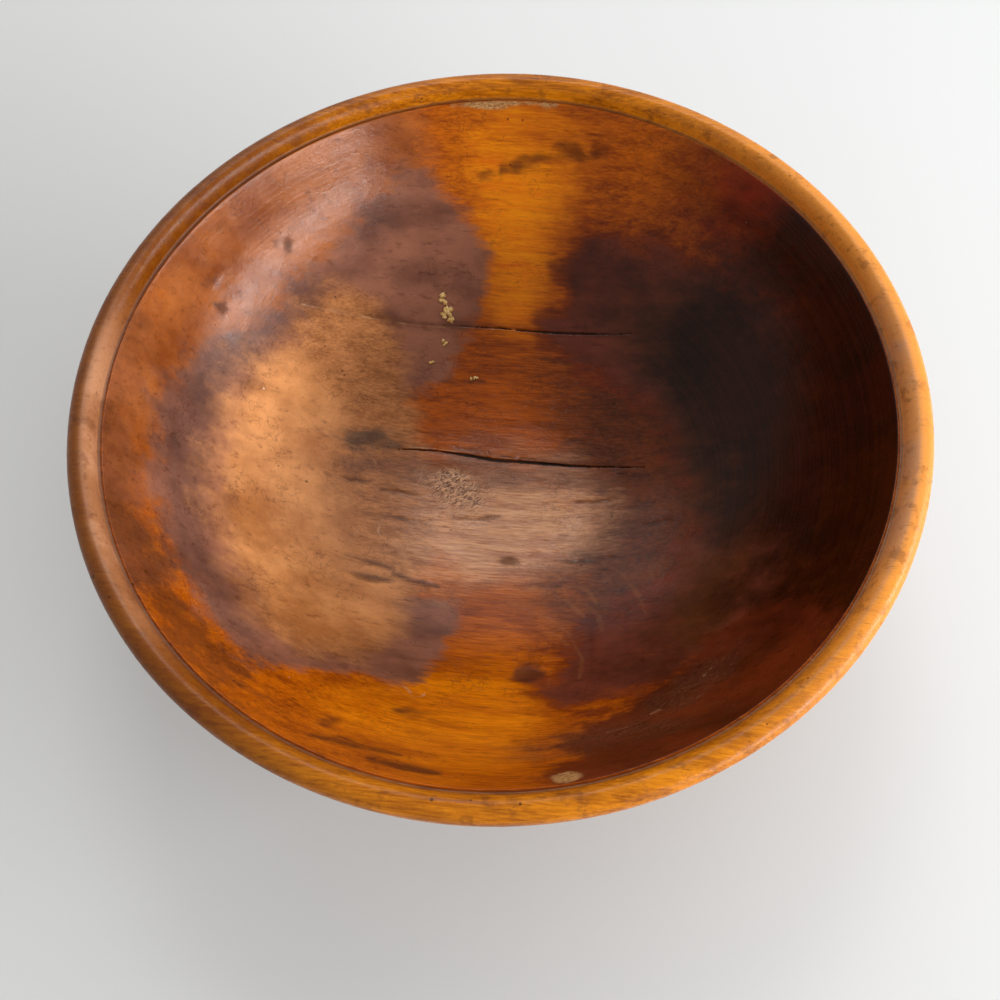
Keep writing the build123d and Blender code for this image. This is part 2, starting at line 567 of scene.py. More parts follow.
FINE_FIBRE = Texture((0.085, 1.0, 1.0), 5.0, 0.66)
BROAD_FIBRE = Texture((0.02, 0.16, 0.16), 4.0, 0.55, 3.0)
RING_WOBBLE = Texture((0.008, 0.012, 0.012), 2.0, 0.5, 7.0)
OPEN_PORES = Texture((0.16, 2.2, 2.2), 2.0, 0.5, 11.0, (0.6, 0.74))
LONG_STREAKS = Texture((0.036, 0.32, 0.32), 5.0, 0.66, 13.0, (0.54, 0.74))
BROAD_MOTTLE = Texture((0.02, 0.035, 0.035), 4.0, 0.6, 17.0)
EDGE_WANDER = Texture((0.05, 0.055, 0.055), 4.0, 0.58)
EDGE_FINGERS = Texture((0.022, 0.14, 0.14), 5.0, 0.62)
RUBBED_SCUFFS = Texture((0.11, 0.11, 0.11), 5.0, 0.65, 29.0, (0.35, 0.7), 0.0)
TORN_FIBRE = Texture((0.3, 0.9, 0.9), 4.0, 0.7, 31.0, (0.38, 0.62), 24.0, 1.6)
CURL_PATHS = Texture((0.16, 0.16, 0.16), 3.0, 0.5, 53.0, turn=0.0)
CURL_PATCHES = Texture((0.05, 0.05, 0.05), 2.0, 0.5, 56.0, (0.5, 0.62), 0.0)


@dataclass(frozen=True)
class NodeDesk:
    """Places shader nodes on one node tree and joins them."""

    tree: bpy.types.NodeTree

    def node(self, kind: str, **settings: object) -> bpy.types.Node:
        """Adds a node and sets its properties.

        Args:
            kind: Blender's name of the node.
            settings: Properties of the node and their values.

        Returns:
            The new node.
        """
        made = self.tree.nodes.new(kind)
        for name, value in settings.items():
            setattr(made, name, value)
        return made

    def join(self, source: Source, target: Socket) -> None:
        """Joins an output to an input, or sets a plain value on the input.

        Args:
            source: Output or plain value.
            target: Input that takes it.
        """
        if isinstance(source, Socket):
            self.tree.links.new(source, target)
        else:
            target.default_value = source

    def math(self, operation: str, first: Source, second: Source = 0.0, addend: Source = 0.0) -> Socket:
        """Works out one sum.

        Args:
            operation: Name of the sum, as the Math node has it.
            first: Value or output.
            second: Value or output.
            addend: Third value or output, for a sum that takes three.

        Returns:
            The result's output.
        """
        made = self.node("ShaderNodeMath", operation=operation)
        for source, target in zip((first, second, addend), made.inputs):
            self.join(source, target)
        return made.outputs[0]

    def times(self, first: Source, second: Source) -> Socket:
        """Multiplies two values."""
        return self.math("MULTIPLY", first, second)

    def plus(self, base: Source, value: Source, amount: float) -> Socket:
        """Adds a value times an amount to a base."""
        return self.math("MULTIPLY_ADD", value, amount, base)

    def length(self, first: Source, second: Source) -> Socket:
        """Gives the length of two sides at right angles."""
        return self.math("SQRT", self.math("ADD", self.times(first, first), self.times(second, second)))

    def span(self, value: Source, low: float, high: float, bottom: float = 0.0, top: float = 1.0) -> Socket:
        """Maps a value smoothly from low..high to bottom..top.

        Args:
            value: Output to map.
            low: Value that gives bottom.
            high: Value that gives top.
            bottom: Result at low.
            top: Result at high.

        Returns:
            The mapped value's output.
        """
        made = self.node("ShaderNodeMapRange", interpolation_type="SMOOTHSTEP")
        for source, target in zip((value, low, high, bottom, top), made.inputs):
            self.join(source, target)
        return made.outputs[0]

    def mix(self, share: Source, below: Source, above: Source, mode: str = "MIX") -> Socket:
        """Lays one colour over another.

        Args:
            share: How much of the upper colour shows.
            below: Lower colour.
            above: Upper colour.
            mode: How the colours mix.

        Returns:
            The mixed colour's output.
        """
        made = self.node("ShaderNodeMix", data_type="RGBA", blend_type=mode)
        for source, target in zip((share, below, above), (made.inputs[0], made.inputs[6], made.inputs[7])):
            self.join(source, target)
        return made.outputs[2]

    def tint(self, share: Source, below: Source, tone: Colour, mode: str = "MIX") -> Socket:
        """Lays one tone of a finish over a colour."""
        return self.mix(share, below, srgb(*tone), mode)

    def two_tone(self, share: Source, dark: Colour, light: Colour) -> Socket:
        """Runs between two tones of a finish."""
        return self.tint(share, srgb(*dark), light)

    def layered(self, colour: Socket, coats: Iterable[tuple[Source, Colour]]) -> Socket:
        """Lays several coats over a colour.

        Args:
            colour: Colour below them.
            coats: How much of each coat shows, and its tone, from the lowest up.

        Returns:
            The colour's output.
        """
        for share, tone in coats:
            colour = self.tint(share, colour, tone)
        return colour

    def spread(self, waves: Point, turn: float = 0.0) -> Socket:
        """Gives the object's own coordinates in millimetres, turned to the grain and stretched.

        Args:
            waves: Waves for each millimetre along, across and up.
            turn: Angle of the grain on the plan, in degrees.

        Returns:
            The coordinates' output.
        """
        where = self.node("ShaderNodeTexCoord")
        turned = self.node("ShaderNodeMapping", vector_type="POINT")
        turned.inputs["Rotation"].default_value = (0.0, 0.0, -math.radians(turn))
        self.join(where.outputs["Object"], turned.inputs["Vector"])
        scaled = self.node("ShaderNodeMapping", vector_type="POINT")
        scaled.inputs["Scale"].default_value = [value / MM for value in waves]
        self.join(turned.outputs[0], scaled.inputs["Vector"])
        return scaled.outputs[0]

    def place(self, turn: float = 0.0) -> Sequence[Socket]:
        """Gives the place on the object in millimetres: along, across and up.

        Args:
            turn: Angle of the grain on the plan, in degrees.

        Returns:
            The outputs of the three coordinates.
        """
        parts = self.node("ShaderNodeSeparateXYZ")
        self.join(self.spread((1.0, 1.0, 1.0), turn), parts.inputs[0])
        return parts.outputs

    def noise(
        self, vector: Socket, detail: float, rough: float, seed: Source = 0.0, curl: float = 0.0
    ) -> Socket:
        """Reads noise at a vector, with a seed of its own.

        Args:
            vector: Coordinates, already scaled.
            detail: Layers of finer noise.
            rough: Strength of the finer layers.
            seed: Number that gives each use its own pattern.
            curl: How much the pattern is twisted.

        Returns:
            The noise value's output.
        """
        shifted = self.node("ShaderNodeVectorMath", operation="ADD")
        self.join(vector, shifted.inputs[0])
        self.join(seed if isinstance(seed, Socket) else (seed, seed, seed), shifted.inputs[1])
        made = self.node("ShaderNodeTexNoise", noise_dimensions="3D")
        self.join(shifted.outputs[0], made.inputs["Vector"])
        for name, value in (("Scale", 1.0), ("Detail", detail), ("Roughness", rough), ("Distortion", curl)):
            made.inputs[name].default_value = value
        return made.outputs[0]

    def texture(self, look: Texture, seed: Socket | None = None) -> Socket:
        """Reads a noise pattern of the wood.

        Args:
            look: The pattern.
            seed: Output that takes the place of the pattern's own seed.

        Returns:
            The pattern's output, about 0.3 to 0.7.
        """
        start = look.seed if seed is None else seed
        return self.noise(self.spread(look.waves, look.turn), look.detail, look.rough, start, look.curl)

    def pattern(self, look: Texture) -> Socket:
        """Reads a noise pattern, spread over its ramp from 0 to 1."""
        return self.span(self.texture(look), *look.ramp)

    def mark(self, mark: Mark) -> Socket:
        """Reads one of the distances that the mesh keeps."""
        return self.node("ShaderNodeAttribute", attribute_name=mark.value).outputs["Fac"]

    def group(self, tree: bpy.types.NodeTree, **values: Source) -> Sequence[Socket]:
        """Places a shared effect and gives it its own values.

        Args:
            tree: The effect.
            values: Its inputs, in small letters, and their values.

        Returns:
            The outputs of the effect.
        """
        made = self.node("ShaderNodeGroup", node_tree=tree)
        for name, value in values.items():
            self.join(value, made.inputs[name.title()])
        return made.outputs

    def bump(self, shader: bpy.types.Node, height: Socket, strength: float, distance: float) -> None:
        """Lets the fine height of a surface catch the light.

        Args:
            shader: Shader of the finish.
            height: Output of the height.
            strength: How much of it shows.
            distance: Height of a full wave, in millimetres.
        """
        made = self.node("ShaderNodeBump")
        made.inputs["Strength"].default_value = strength
        made.inputs["Distance"].default_value = distance * MM
        self.join(height, made.inputs["Height"])
        self.join(made.outputs[0], shader.inputs["Normal"])


def new_effect(
    name: str, inputs: dict[str, float], outputs: Sequence[str]
) -> tuple[NodeDesk, Sequence[Socket], Sequence[Socket]]:
    """Starts a shader node group with named inputs and outputs.

    Args:
        name: Name of the effect.
        inputs: Name and usual value of each input.
        outputs: Name of each output.

    Returns:
        A desk for the group's tree, the sockets that give its inputs and those that take its outputs.
    """
    tree = bpy.data.node_groups.new(name, "ShaderNodeTree")
    for title, value in inputs.items():
        tree.interface.new_socket(title, in_out="INPUT", socket_type="NodeSocketFloat").default_value = value
    for title in outputs:
        tree.interface.new_socket(title, in_out="OUTPUT", socket_type="NodeSocketFloat")
    desk = NodeDesk(tree)
    return desk, desk.node("NodeGroupInput").outputs, desk.node("NodeGroupOutput").inputs


@dataclass(frozen=True)
class Specks:
    """Scattered round specks: spacing and size in millimetres, and the share of places that has one."""

    spacing: float
    size: float
    share: float


@dataclass
class WoodEffects:
    """Effects that the finishes of the wood share, each a node group made once."""

    fine_share: float = 0.55
    broad_share: float = 0.45
    ring_wobble: float = 9.0
    ring_width: float = 2.4
    late_start: float = 1.5
    tool_waves: float = 0.9
    wall_share: float = 0.7
    round_waves: float = 0.5
    tool_layers: Point = (3.0, 0.6, 23.0)
    tool_ramp: Place = (0.32, 0.68)
    curl_ramp: Place = (0.03, 0.006)
    smallest_speck: float = 0.4
    figure: bpy.types.NodeTree = field(init=False)
    edge: bpy.types.NodeTree = field(init=False)
    turning: bpy.types.NodeTree = field(init=False)
    specks: bpy.types.NodeTree = field(init=False)

    def __post_init__(self) -> None:
        """Builds every effect."""
        self.figure = self.make_figure()
        self.edge = self.make_edge()
        self.turning = self.make_turning()
        self.specks = self.make_specks()

    def make_figure(self) -> bpy.types.NodeTree:
        """Builds the wood's figure: fibres, growth rings round the pith, pores, mottling and streaks.

        Returns:
            The effect.
        """
        desk, _, out = new_effect("wood_figure", {}, ("Fibre", "Rings", "Pores", "Mottle", "Streaks"))
        fine = desk.times(desk.texture(FINE_FIBRE), self.fine_share)
        broad = desk.times(desk.texture(BROAD_FIBRE), self.broad_share)
        desk.join(desk.span(desk.math("ADD", fine, broad), *FINE_FIBRE.ramp), out["Fibre"])
        place = desk.place(GRAIN_TURN)
        across = desk.math("SUBTRACT", place[1], PITH_ACROSS)
        below = desk.math("SUBTRACT", place[2], PITH_HEIGHT)
        radius = desk.plus(desk.length(across, below), desk.texture(RING_WOBBLE), self.ring_wobble)
        year = desk.math("PINGPONG", radius, self.ring_width)
        desk.join(desk.span(year, self.late_start, self.ring_width), out["Rings"])
        for title, look in (("Pores", OPEN_PORES), ("Streaks", LONG_STREAKS), ("Mottle", BROAD_MOTTLE)):
            desk.join(desk.pattern(look), out[title])
        return desk.tree

    def make_edge(self) -> bpy.types.NodeTree:
        """Builds what roughens the edges of stains: broad wandering, and fingers along the grain.

        Returns:
            The effect.
        """
        desk, given, out = new_effect("stain_edge", {"Seed": 0.0}, ("Wander", "Fingers"))
        for title, look in (("Wander", EDGE_WANDER), ("Fingers", EDGE_FINGERS)):
            desk.join(desk.plus(-1.0, desk.texture(look, given["Seed"]), 2.0), out[title])
        return desk.tree

    def make_turning(self) -> bpy.types.NodeTree:
        """Builds what tool and use left: fine rings round the axis, scuffs, torn strands and curls.

        Returns:
            The effect.
        """
        desk, _, out = new_effect("turning_marks", {}, ("Lines", "Scuffs", "Strands", "Curls"))
        place = desk.place()
        radius = desk.length(place[0], place[1])
        angle = desk.math("ARCTAN2", place[1], place[0])
        ring = desk.node("ShaderNodeCombineXYZ")
        desk.join(desk.times(desk.plus(radius, place[2], self.wall_share), self.tool_waves), ring.inputs[0])
        desk.join(desk.times(desk.math("COSINE", angle), self.round_waves), ring.inputs[1])
        desk.join(desk.times(desk.math("SINE", angle), self.round_waves), ring.inputs[2])
        lines = desk.noise(ring.outputs[0], *self.tool_layers)
        desk.join(desk.span(lines, *self.tool_ramp), out["Lines"])
        for title, look in (("Scuffs", RUBBED_SCUFFS), ("Strands", TORN_FIBRE)):
            desk.join(desk.pattern(look), out[title])
        ridge = desk.math("ABSOLUTE", desk.math("SUBTRACT", desk.texture(CURL_PATHS), 0.5))
        curls = desk.times(desk.span(ridge, *self.curl_ramp), desk.pattern(CURL_PATCHES))
        desk.join(curls, out["Curls"])
        return desk.tree

    def make_specks(self) -> bpy.types.NodeTree:
        """Builds scattered specks: round cells of which a few are picked.

        Returns:
            The effect.
        """
        inputs = {"Spacing": 20.0, "Size": 0.6, "Share": 0.4}
        desk, given, out = new_effect("scattered_specks", inputs, ("Mask",))
        cells = desk.node("ShaderNodeTexVoronoi", voronoi_dimensions="3D", feature="F1")
        desk.join(desk.spread((1.0, 1.0, 1.0)), cells.inputs["Vector"])
        desk.join(desk.math("DIVIDE", 1.0, given["Spacing"]), cells.inputs["Scale"])
        reach = desk.times(cells.outputs["Distance"], given["Spacing"])
        picked = desk.node("ShaderNodeSeparateColor")
        desk.join(cells.outputs["Color"], picked.inputs[0])
        size = desk.times(given["Size"], desk.math("ADD", picked.outputs[1], self.smallest_speck))
        round_part = desk.math("LESS_THAN", reach, size)
        chosen = desk.math("LESS_THAN", picked.outputs[0], given["Share"])
        desk.join(desk.times(round_part, chosen), out["Mask"])
        return desk.tree

    def sprinkled(self, desk: NodeDesk, look: Specks) -> Socket:
        """Places the specks of a finish on its desk."""
        return desk.group(self.specks, spacing=look.spacing, size=look.size, share=look.share)["Mask"]


def new_material(name: str) -> tuple[bpy.types.Material, NodeDesk, bpy.types.Node]:
    """Starts a node material with one Principled shader.

    Args:
        name: Name of the finish.

    Returns:
        The material, a desk for its nodes and its shader.
    """
    made = bpy.data.materials.new(name)
    made.use_nodes = True
    desk = NodeDesk(made.node_tree)
    shader = next(node for node in made.node_tree.nodes if node.type == "BSDF_PRINCIPLED")
    return made, desk, shader


@dataclass(frozen=True)
class Stain:
    """One stain, mark of use, or patch of painted shade and sheen on the inside: the mark that it follows,
    its edge and its two tones.
    """

    mark: Mark
    edge: tuple[float, float]
    dark: Colour
    light: Colour
    pattern: Pattern
    wander: float
    fingers: float
    field: int
    strength: float
    gloss_loss: float = 0.0


INSIDE_STAINS = (
    Stain(Mark.GLOW, (-12, 14), (196, 94, 0), (255, 150, 2), Pattern.FIBRE, 12, 14, 0, 0.92),
    Stain(Mark.REAR_GLOW, (-14, 16), (236, 116, 0), (255, 160, 2), Pattern.FIBRE, 14, 18, 0, 0.92),
    Stain(Mark.RED_FLOOR, (-18, 16), (112, 45, 0), (196, 94, 2), Pattern.FIBRE, 16, 20, 1, 0.85),
    Stain(Mark.LEFT_WALL, (-8, 8), (86, 50, 32), (136, 82, 56), Pattern.MOTTLE, 10, 10, 2, 0.85),
    # Painted shade: deep red, dark tones for the shaded upper right wall
    Stain(Mark.RED_WALL, (-46, 12), (64, 6, 0), (134, 30, 0), Pattern.MOTTLE, 12, 16, 0, 0.93),
    Stain(Mark.UPPER_LEFT, (-12, 12), (124, 62, 26), (180, 106, 54), Pattern.MOTTLE, 10, 12, 1, 0.88),
    Stain(Mark.LEFT_STAIN, (-3, 5), (100, 61, 47), (156, 101, 78), Pattern.MOTTLE, 8, 10, 2, 1.0, 0.04),
    Stain(Mark.LEFT_BAND, (-5, 5), (78, 51, 44), (122, 82, 68), Pattern.MOTTLE, 7, 7, 1, 0.85, 0.12),
    Stain(Mark.LEFT_PALE, (-6, 10), (134, 80, 40), (204, 136, 82), Pattern.FIBRE, 9, 11, 0, 0.95, 0.02),
    Stain(Mark.LEFT_TAN, (-12, 16), (178, 110, 57), (234, 161, 99), Pattern.MOTTLE, 12, 13, 1, 1.0, 0.04),
    # Painted shade over brown stain on the floor right of the middle
    Stain(Mark.FLOOR_SHADE, (-40, 8), (54, 21, 5), (106, 48, 16), Pattern.FIBRE, 18, 24, 2, 0.95),
    Stain(Mark.RIGHT_STAIN, (-9, -1), (84, 24, 4), (124, 42, 6), Pattern.FIBRE, 12, 15, 0, 0.7),
    Stain(Mark.RIGHT_STAIN, (-4, 7), (68, 32, 23), (120, 58, 42), Pattern.MOTTLE, 13, 14, 0, 0.95),
    Stain(Mark.RIGHT_PALE, (-12, 16), (44, 20, 9), (86, 47, 22), Pattern.MOTTLE, 16, 16, 1, 0.93),
    # Painted shade over dark stain: near-black tones for the shaded right wall and its lower corner
    Stain(Mark.RIGHT_DARK, (-22, 16), (15, 5, 2), (38, 13, 6), Pattern.MOTTLE, 16, 16, 2, 0.95),
    Stain(Mark.RIGHT_WALL, (-16, 12), (20, 3, 0), (46, 10, 1), Pattern.MOTTLE, 10, 10, 1, 0.95),
    # Dark stain with painted shade on the front right wall
    Stain(Mark.DARK_WALL, (-4, 5), (62, 20, 7), (106, 40, 17), Pattern.MOTTLE, 10, 13, 2, 0.94),
    Stain(Mark.WALL_GRIME, (-6, 5), (78, 36, 13), (128, 64, 22), Pattern.MOTTLE, 14, 14, 1, 0.8),
    Stain(Mark.SMEAR, (-6, 4), (46, 20, 11), (112, 70, 48), Pattern.STRANDS, 8, 9, 0, 0.5, 0.08),
    # Real pale wear with a painted sheen on the floor's middle
    Stain(Mark.WORN_AND_SHEEN_FLOOR, (-26, 20), (166, 102, 60), (246, 188, 138), Pattern.FIBRE, 16, 18, 1, 0.9, 0.05),
    Stain(Mark.CRACK_SHADE, (-8, 5), (80, 43, 28), (132, 80, 54), Pattern.FIBRE, 9, 12, 0, 0.72),
    Stain(Mark.GROWTH_LINE, (-1.4, 0.4), (140, 84, 40), (190, 128, 72), Pattern.SCUFFS, 1.4, 1.2, 0, 0.2),
    Stain(Mark.TORN, (-4, 6), (74, 34, 14), (236, 182, 138), Pattern.STRANDS, 10, 8, 2, 0.9, 0.15),
    Stain(Mark.SMUDGE, (-4, 3), (44, 34, 28), (92, 74, 60), Pattern.SCUFFS, 9, 9, 0, 0.8, 0.12),
    Stain(Mark.STREAK, (-1.8, 1.4), (48, 19, 7), (88, 40, 16), Pattern.FIBRE, 2, 4.5, 1, 0.8, 0.06),
    Stain(Mark.DENT, (-1.8, 1.4), (46, 18, 8), (84, 36, 15), Pattern.SCUFFS, 4, 3.6, 2, 0.7, 0.35),
    Stain(
        Mark.SCRATCH, (-0.4, 0.2), (172, 118, 76), (214, 170, 130), Pattern.SCUFFS, 0.9, 0.8, 0, 0.45, 0.08
    ),
    Stain(Mark.CRACK, (-3.4, 0.4), (62, 26, 9), (90, 42, 16), Pattern.FIBRE, 3, 4, 1, 0.4, 0.05),
    # Painted shade: the open cracks' inner walls painted near black, as the shade in their depth
    Stain(Mark.CRACK, (-0.3, 0.15), (18, 9, 6), (30, 17, 11), Pattern.FIBRE, 0.7, 0.7, 1, 1.0, 0.3),
    Stain(Mark.BARE, (-0.7, 0.6), (140, 92, 46), (206, 160, 106), Pattern.STRANDS, 2, 1.8, 2, 1.0, 0.2),
)


@dataclass(frozen=True)
class InsideFinish:
    """Amber wood with dark stains, worn pale where dough was worked; painted sheen on the worn middle,
    painted shade on the right side and in the open cracks.
    """

    effects: WoodEffects
    name: str = "aged_wood_inside"
    edge_seeds: tuple[float, ...] = (3.1, 11.7, 23.9)
    dark_amber: Colour = (134, 55, 0)
    amber: Colour = (212, 109, 2)
    late_wood: Colour = (132, 54, 4)
    dark_curl: Colour = (58, 24, 9)
    streak: Colour = (142, 110, 92)
    pore: Colour = (84, 32, 6)
    pale_speck: Colour = (224, 208, 186)
    dark_fleck: Colour = (58, 22, 8)
    ring_ramp: Ramp = (-16.0, 16.0, 0.02, 0.3)
    line_ramp: Ramp = (0.0, 1.0, 0.0, 0.05)
    streak_share: float = 0.55
    pore_share: float = 0.4
    curl_share: float = 0.3
    fleck_share: float = 0.7
    pale_specks: Specks = Specks(24.0, 0.5, 0.35)
    dark_flecks: Specks = Specks(9.0, 0.5, 0.45)
    gloss: float = 0.1
    scuff_gloss_loss: float = 0.1
    line_gloss_loss: float = 0.05
    specular: float = 0.2
    fibre_height: float = 0.15
    line_height: float = 0.08
    pore_height: float = -0.25
    scuff_height: float = 0.2
    relief: Place = (0.55, 0.3)

    def make(self) -> bpy.types.Material:
        """Builds the finish.

        Returns:
            The material.
        """
        made, desk, shader = new_material(self.name)
        figure, turning = desk.group(self.effects.figure), desk.group(self.effects.turning)
        patterns = {
            Pattern.FIBRE: figure["Fibre"],
            Pattern.MOTTLE: figure["Mottle"],
            Pattern.SCUFFS: turning["Scuffs"],
            Pattern.STRANDS: turning["Strands"],
        }
        colour = desk.two_tone(patterns[Pattern.FIBRE], self.dark_amber, self.amber)
        colour, rough = self.stained(desk, colour, patterns)
        rings = desk.times(figure["Rings"], desk.span(desk.mark(Mark.RING_PATCH), *self.ring_ramp))
        colour = desk.tint(rings, colour, self.late_wood, "MULTIPLY")
        colour = desk.tint(desk.times(figure["Streaks"], self.streak_share), colour, self.streak, "MULTIPLY")
        colour = desk.layered(colour, (
            (desk.times(figure["Pores"], self.pore_share), self.pore),
            (desk.times(turning["Curls"], self.curl_share), self.dark_curl),
            (desk.span(turning["Lines"], *self.line_ramp), self.late_wood),
            (self.effects.sprinkled(desk, self.pale_specks), self.pale_speck),
            (desk.times(self.effects.sprinkled(desk, self.dark_flecks), self.fleck_share), self.dark_fleck),
        ))
        desk.join(colour, shader.inputs["Base Color"])
        rough = desk.plus(rough, turning["Scuffs"], self.scuff_gloss_loss)
        rough = desk.plus(rough, turning["Lines"], self.line_gloss_loss)
        desk.join(rough, shader.inputs["Roughness"])
        shader.inputs["Specular IOR Level"].default_value = self.specular
        height = desk.times(figure["Fibre"], self.fibre_height)
        height = desk.plus(height, turning["Lines"], self.line_height)
        height = desk.plus(height, figure["Pores"], self.pore_height)
        height = desk.plus(height, turning["Scuffs"], self.scuff_height)
        desk.bump(shader, height, *self.relief)
        return made

    def stained(
        self, desk: NodeDesk, colour: Socket, patterns: dict[Pattern, Socket]
    ) -> tuple[Socket, Source]:
        """Lays the stains, marks and patches of painted shade and sheen over the bare wood, from the oldest
        to the newest.

        Args:
            desk: Desk of the material.
            colour: Colour of the bare wood.
            patterns: Patterns that the stains' tones follow.

        Returns:
            The stained colour, and the roughness that goes with it.
        """
        fields = [desk.group(self.effects.edge, seed=seed) for seed in self.edge_seeds]
        rough: Source = self.gloss
        for stain in INSIDE_STAINS:
            ragged = fields[stain.field]
            depth = desk.plus(desk.mark(stain.mark), ragged["Wander"], stain.wander)
            depth = desk.plus(depth, ragged["Fingers"], stain.fingers)
            share = desk.span(depth, *stain.edge, 0.0, stain.strength)
            colour = desk.mix(share, colour, desk.two_tone(patterns[stain.pattern], stain.dark, stain.light))
            if stain.gloss_loss:
                rough = desk.plus(rough, share, stain.gloss_loss)
        return colour, rough


@dataclass(frozen=True)
class RimFinish:
    """Golden oiled wood of the rim bead: paler along its inner half from rubbing and painted sheen, with
    painted light on its right side and painted shade in the quirk.
    """

    effects: WoodEffects
    name: str = "aged_wood_rim"
    dark_gold: Colour = (150, 76, 4)
    gold: Colour = (240, 146, 18)
    # Rubbing and painted sheen: a pale tone on the inner half of the bead, strongest at the front and left
    rubbed_sheen: Colour = (202, 146, 108)
    # Painted light: the right side of the bead made lighter, where the light falls on it
    painted_light_right: Colour = (248, 160, 66)
    handled: Colour = (104, 48, 5)
    stained: Colour = (98, 46, 14)
    # Painted shade: dark tone laid in the quirk below the bead, where shade falls
    groove_shade: Colour = (92, 46, 18)
    fleck: Colour = (62, 26, 8)
    blotch_ramp: Ramp = (0.2, 0.8, 0.5, 1.0)
    inner_ramp: Ramp = (173.5, 168.5, 0.05, 0.85)
    rubbed_sheen_across: float = -30.0
    rubbed_sheen_ramp: Ramp = (95.0, 35.0, 0.0, 1.0)
    painted_light_right_ramp: Ramp = (60.0, 170.0, 0.0, 0.85)
    handled_ramp: Ramp = (-20.0, -130.0, 0.0, 0.82)
    scuff_ramp: Ramp = (0.6, 1.0, 0.0, 0.4)
    groove_shade_ramp: Ramp = (122.4, 121.4, 0.0, 0.7)
    streak_share: float = 0.5
    pore_share: float = 0.4
    fleck_share: float = 0.75
    flecks: Specks = Specks(8.0, 0.6, 0.4)
    rough_ramp: Ramp = (0.0, 1.0, 0.24, 0.42)
    specular: float = 0.25
    relief: Place = (0.4, 0.2)

    def make(self) -> bpy.types.Material:
        """Builds the finish.

        Returns:
            The material.
        """
        made, desk, shader = new_material(self.name)
        figure, turning = desk.group(self.effects.figure), desk.group(self.effects.turning)
        place = desk.place()
        inner = desk.span(desk.length(place[0], place[1]), *self.inner_ramp)
        aside = desk.math("ABSOLUTE", desk.math("SUBTRACT", place[1], self.rubbed_sheen_across))
        inner = desk.times(inner, desk.span(aside, *self.rubbed_sheen_ramp))
        blotches = desk.span(figure["Mottle"], *self.blotch_ramp)
        flecks = self.effects.sprinkled(desk, self.flecks)
        colour = desk.two_tone(figure["Fibre"], self.dark_gold, self.gold)
        colour = desk.layered(colour, (
            # painted light on the right side
            (desk.span(place[0], *self.painted_light_right_ramp), self.painted_light_right),
            (desk.span(place[0], *self.handled_ramp), self.handled),
            # rubbing and painted sheen on the inner half
            (desk.times(blotches, inner), self.rubbed_sheen),
            (desk.times(figure["Streaks"], self.streak_share), self.stained),
            (desk.span(turning["Scuffs"], *self.scuff_ramp), self.stained),
            (desk.times(figure["Pores"], self.pore_share), self.fleck),
            (desk.times(flecks, self.fleck_share), self.fleck),
            # painted shade in the quirk
            (desk.span(place[2], *self.groove_shade_ramp), self.groove_shade),
        ))
        desk.join(colour, shader.inputs["Base Color"])
        desk.join(desk.span(turning["Scuffs"], *self.rough_ramp), shader.inputs["Roughness"])
        shader.inputs["Specular IOR Level"].default_value = self.specular
        desk.bump(shader, desk.math("ADD", figure["Fibre"], turning["Scuffs"]), *self.relief)
        return made


@dataclass(frozen=True)
class OutsideFinish:
    """Darker handled wood of the outside, with tool rings and a bare foot."""

    effects: WoodEffects
    name: str = "aged_wood_outside"
    dark_brown: Colour = (104, 54, 20)
    brown: Colour = (172, 100, 42)
    tool_ring: Colour = (76, 38, 16)
    handled: Colour = (70, 34, 16)
    bare: Colour = (186, 132, 82)
    handled_ramp: Ramp = (0.5, 1.0, 0.0, 0.55)
    ring_share: float = 0.35
    line_ramp: Ramp = (0.2, 1.0, 0.0, 0.4)
    pore_share: float = 0.5
    foot_ramp: Ramp = (2.5, 0.4, 0.0, 1.0)
    foot_scuff_ramp: Ramp = (0.0, 0.8, 0.3, 0.9)
    rough_ramp: Ramp = (0.0, 1.0, 0.36, 0.55)
    relief: Place = (0.5, 0.3)

    def make(self) -> bpy.types.Material:
        """Builds the finish.

        Returns:
            The material.
        """
        made, desk, shader = new_material(self.name)
        figure, turning = desk.group(self.effects.figure), desk.group(self.effects.turning)
        near_foot = desk.span(desk.place()[2], *self.foot_ramp)
        worn = desk.times(near_foot, desk.span(turning["Scuffs"], *self.foot_scuff_ramp))
        colour = desk.two_tone(figure["Fibre"], self.dark_brown, self.brown)
        colour = desk.layered(colour, (
            (desk.span(figure["Mottle"], *self.handled_ramp), self.handled),
            (desk.times(figure["Rings"], self.ring_share), self.tool_ring),
            (desk.span(turning["Lines"], *self.line_ramp), self.tool_ring),
            (desk.times(figure["Pores"], self.pore_share), self.tool_ring),
            (worn, self.bare),
        ))
        desk.join(colour, shader.inputs["Base Color"])
        desk.join(desk.span(turning["Scuffs"], *self.rough_ramp), shader.inputs["Roughness"])
        desk.bump(shader, desk.math("ADD", figure["Fibre"], turning["Lines"]), *self.relief)
        return made


@dataclass(frozen=True)
class CrustFinish:
    """Dry crumbly matter in two tones, for packed grime and for dried flakes."""

    name: str
    dark: Colour
    light: Colour
    roughness: float
    waves: float = 0.9
    detail: float = 4.0
    crumbling: float = 0.65
    seed: float = 37.0
    hollow_roughness: float = 0.1
    relief: Place = (0.6, 0.4)

    def make(self) -> bpy.types.Material:
        """Builds the finish.

        Returns:
            The material.
        """
        made, desk, shader = new_material(self.name)
        look = Texture((self.waves,) * 3, self.detail, self.crumbling, self.seed, turn=0.0)
        crumbs = desk.pattern(look)
        desk.join(desk.two_tone(crumbs, self.dark, self.light), shader.inputs["Base Color"])
        rough = desk.span(crumbs, 0.0, 1.0, self.roughness + self.hollow_roughness, self.roughness)
        desk.join(rough, shader.inputs["Roughness"])
        desk.bump(shader, crumbs, *self.relief)
        return made


